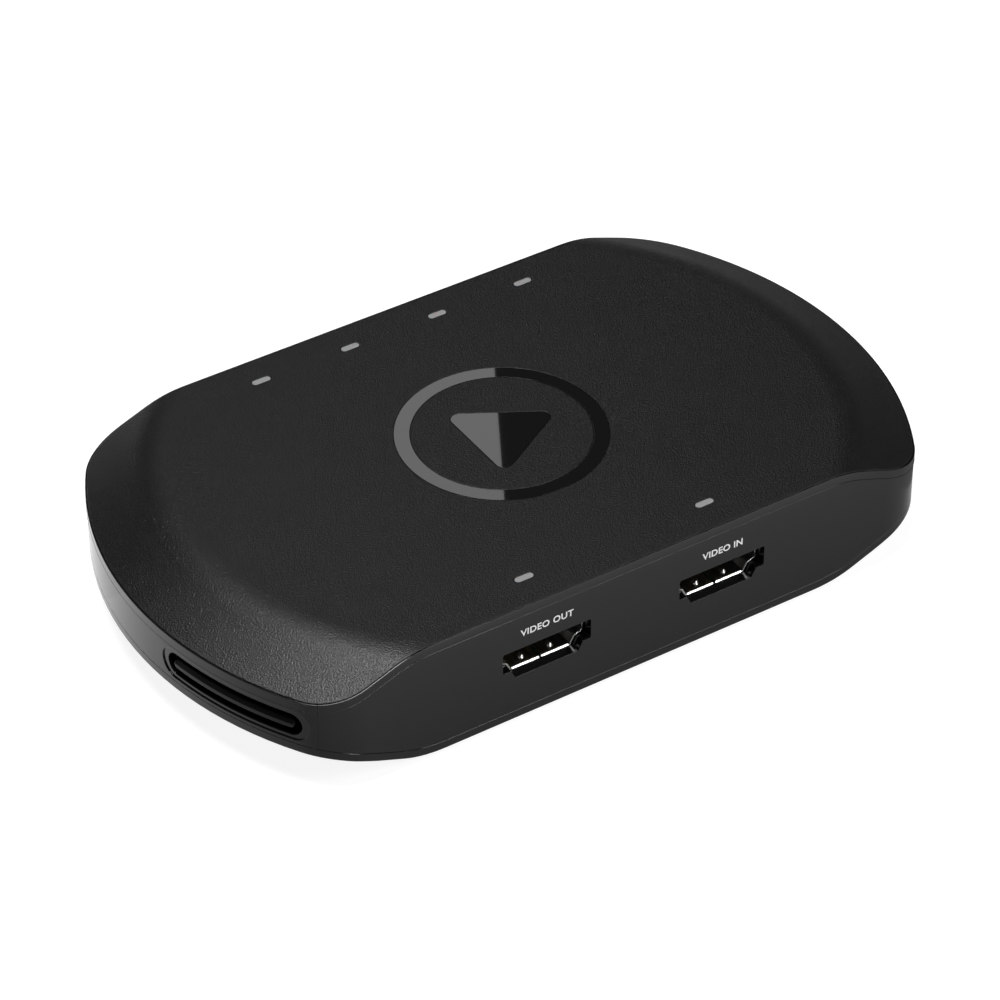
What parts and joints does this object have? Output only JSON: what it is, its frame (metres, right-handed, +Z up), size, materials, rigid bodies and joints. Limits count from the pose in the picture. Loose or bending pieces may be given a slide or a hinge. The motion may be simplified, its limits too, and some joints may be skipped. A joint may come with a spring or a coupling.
{
  "type": "video capture box",
  "caption": "Flat black video capture box with curved sloping ends, recessed front video sockets, rear audio and data sockets and indicator lenses in a textured top.",
  "frame": {"origin": "middle of the footprint on the floor, under the four feet", "axes": "+X along the front face to the viewer's right, +Y from the front video sockets to the rear sockets, +Z up"},
  "size_m": [0.1278, 0.073, 0.0215],
  "materials": {
    "textured_cover": "fine spark texture",
    "satin_case": "smooth satin",
    "gloss_inlay": "polished",
    "frosted_lens": "frosted",
    "foot_rubber": "matte",
    "screw_steel": "zinc plated",
    "nickel_shell": "bright nickel",
    "gold_contact": "gold flash",
    "socket_plastic": "matte",
    "board_laminate": "solder mask",
    "chip_resin": "matte",
    "sink_alloy": "anodised",
    "soft_pad": "soft",
    "coil_core": "pressed core"
  },
  "bodies": {
    "root": {"top_cover": "textured_cover", "emblem_inlay": "gloss_inlay", "front_panel": "satin_case", "rear_panel": "satin_case", "left_end_panel": "satin_case", "right_end_panel": "satin_case", "base_cover": "satin_case", "rubber_feet": "foot_rubber", "case_screws": "screw_steel", "left_vent_insert": "satin_case", "right_vent_insert": "satin_case", "rear_light_guide": "frosted_lens", "front_light_guide": "frosted_lens", "indicator_lamps": "frosted_lens", "main_board": "board_laminate", "board_screws": "screw_steel", "video_out_shell": "nickel_shell", "video_out_tongue": "socket_plastic", "video_out_contacts": "gold_contact", "video_in_shell": "nickel_shell", "video_in_tongue": "socket_plastic", "video_in_contacts": "gold_contact", "data_socket_shell": "nickel_shell", "data_socket_tongue": "socket_plastic", "data_socket_contacts": "gold_contact", "left_audio_jack": "socket_plastic", "middle_audio_jack": "socket_plastic", "right_audio_jack": "socket_plastic", "audio_jack_tabs": "nickel_shell", "processor_chip": "chip_resin", "thermal_pad": "soft_pad", "heat_sink": "sink_alloy", "memory_chips": "chip_resin", "bridge_chip": "chip_resin", "clock_crystal": "screw_steel", "power_coils": "coil_core", "capacitors": "sink_alloy"}
  },
  "joints": []
}
